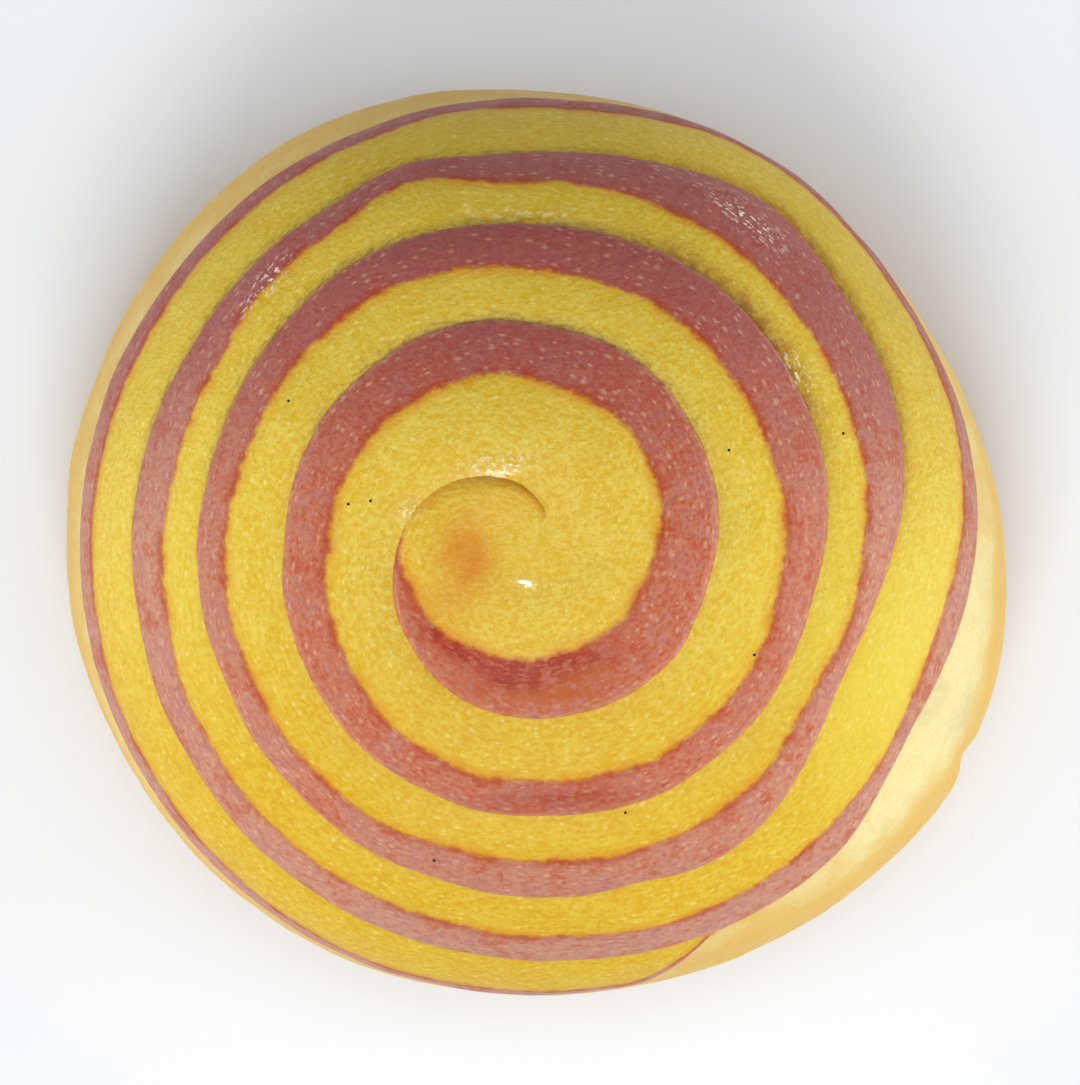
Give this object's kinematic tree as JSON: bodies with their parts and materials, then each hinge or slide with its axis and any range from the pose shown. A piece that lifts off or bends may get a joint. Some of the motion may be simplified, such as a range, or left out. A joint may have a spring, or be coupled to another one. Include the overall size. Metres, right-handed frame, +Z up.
{
  "type": "two-colour spiral brioche bun",
  "caption": "Round brioche bun with a high dome, wound from the crown down in one spiral strip of yellow dough with a pink edge, over a plain dough base.",
  "frame": {"origin": "middle of the bun's box, at the level of the flat base", "axes": "+Z up through the crown; +X and +Y to the right and up in the view from above, in which the strip's tip lies at the lower right"},
  "size_m": [0.0938, 0.0904, 0.0523],
  "materials": {
    "plain_dough": "soft baked dough, golden at the side, pale cream beside the strip",
    "yellow_dough": "baked yellow dough with a fine grain and a faint egg-wash sheen",
    "pink_dough": "baked pink dough, fibrous along the strip, with a faint sheen"
  },
  "bodies": {
    "root": {"plain_dough": "plain_dough", "yellow_dough": "yellow_dough", "pink_dough": "pink_dough"}
  },
  "joints": []
}
